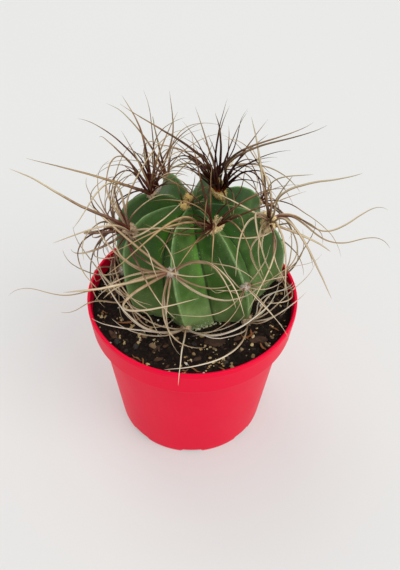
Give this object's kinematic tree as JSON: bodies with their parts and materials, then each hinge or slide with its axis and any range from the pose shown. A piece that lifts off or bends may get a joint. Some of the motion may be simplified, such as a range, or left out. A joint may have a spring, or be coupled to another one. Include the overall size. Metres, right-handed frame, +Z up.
{
  "type": "potted cactus",
  "caption": "Ribbed goats horn cactus with felted areoles and long curling spines, rooted in potting mix in a red plastic nursery pot.",
  "frame": {"origin": "middle of the pot's flat foot, on the surface it stands on", "axes": "+Z up through the pot, +Y away from the viewer of the picture, +X to the viewer's right"},
  "size_m": [0.1964, 0.1507, 0.1925],
  "materials": {
    "pot_red": "satin",
    "potting_mix": "matte",
    "stem_green": "satin",
    "spines_young": "satin",
    "spines_grown": "satin",
    "spines_old": "satin",
    "felt_crown": "matte"
  },
  "bodies": {
    "root": {"pot": "pot_red", "soil": "potting_mix", "stem": "stem_green", "areole_r1_low": "spines_old", "areole_r1_top": "spines_grown", "areole_r2_low": "spines_old", "areole_r2_mid": "spines_grown", "areole_r3_low": "spines_old", "areole_r3_mid": "spines_old", "areole_r3_top": "spines_young", "areole_r4_low": "spines_old", "areole_r4_top": "spines_grown", "areole_r5_low": "spines_old", "areole_r5_mid": "spines_grown", "areole_r5_top": "spines_young", "areole_r6_low": "spines_old", "areole_r6_top": "spines_grown", "areole_r7_low": "spines_old", "areole_r7_mid": "spines_grown", "areole_r7_top": "spines_young", "areole_r8_low": "spines_old", "areole_r8_mid": "spines_grown", "areole_r8_top": "spines_young", "areole_crown": "felt_crown"}
  },
  "joints": []
}
